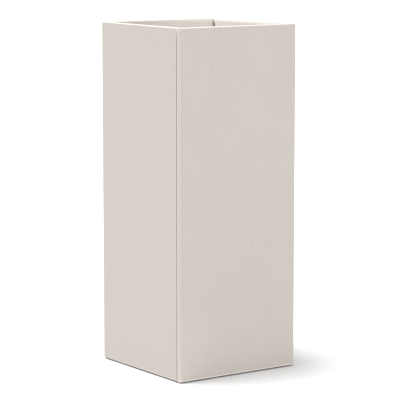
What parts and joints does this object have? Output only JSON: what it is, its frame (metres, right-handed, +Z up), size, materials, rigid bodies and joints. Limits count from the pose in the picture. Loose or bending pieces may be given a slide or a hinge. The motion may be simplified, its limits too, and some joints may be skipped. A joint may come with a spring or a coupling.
{
  "type": "tall planter",
  "caption": "Tall square open planter of two lapped L-shaped laminate shells on a bolted base with rubber feet, with a lift-out planting shelf and a drain plug.",
  "frame": {"origin": "middle of the planter on the ground, under the feet", "axes": "+Z up to the rim, -Y out of the front wall, -X out of the left wall, whose groove lies beside the front arris"},
  "size_m": [0.4, 0.4, 0.995],
  "materials": {
    "shell_laminate": "matte warm greige gel coat with a very fine mottle",
    "raw_laminate": "unpainted glass laminate",
    "sealant": "cured adhesive",
    "foot_rubber": "matte black",
    "zinc_steel": "zinc plated",
    "shelf_plastic": "moulded, fine matte grain"
  },
  "bodies": {
    "planter": {"front_shell": "shell_laminate", "rear_shell": "shell_laminate", "bond_rear_right": "sealant", "bond_front_left": "sealant", "base_plate": "raw_laminate", "base_seal": "sealant", "ledge_front": "raw_laminate", "ledge_rear": "raw_laminate", "ledge_right": "raw_laminate", "ledge_left": "raw_laminate", "foot_front_left": "foot_rubber", "foot_bolt_front_left": "zinc_steel", "foot_washer_front_left": "zinc_steel", "foot_nut_front_left": "zinc_steel", "foot_front_right": "foot_rubber", "foot_bolt_front_right": "zinc_steel", "foot_washer_front_right": "zinc_steel", "foot_nut_front_right": "zinc_steel", "foot_rear_right": "foot_rubber", "foot_bolt_rear_right": "zinc_steel", "foot_washer_rear_right": "zinc_steel", "foot_nut_rear_right": "zinc_steel", "foot_rear_left": "foot_rubber", "foot_bolt_rear_left": "zinc_steel", "foot_washer_rear_left": "zinc_steel", "foot_nut_rear_left": "zinc_steel"},
    "shelf": {"planting_shelf": "shelf_plastic"},
    "plug": {"drain_plug": "foot_rubber"}
  },
  "joints": [
    {"name": "planting_shelf_lift", "type": "slide", "parent": "planter", "child": "shelf", "axis": [0, 0, 1], "range_m": [0, 0.34]},
    {"name": "drain_plug_pull", "type": "slide", "parent": "planter", "child": "plug", "axis": [0, 0, 1], "range_m": [0, 0.04]}
  ]
}
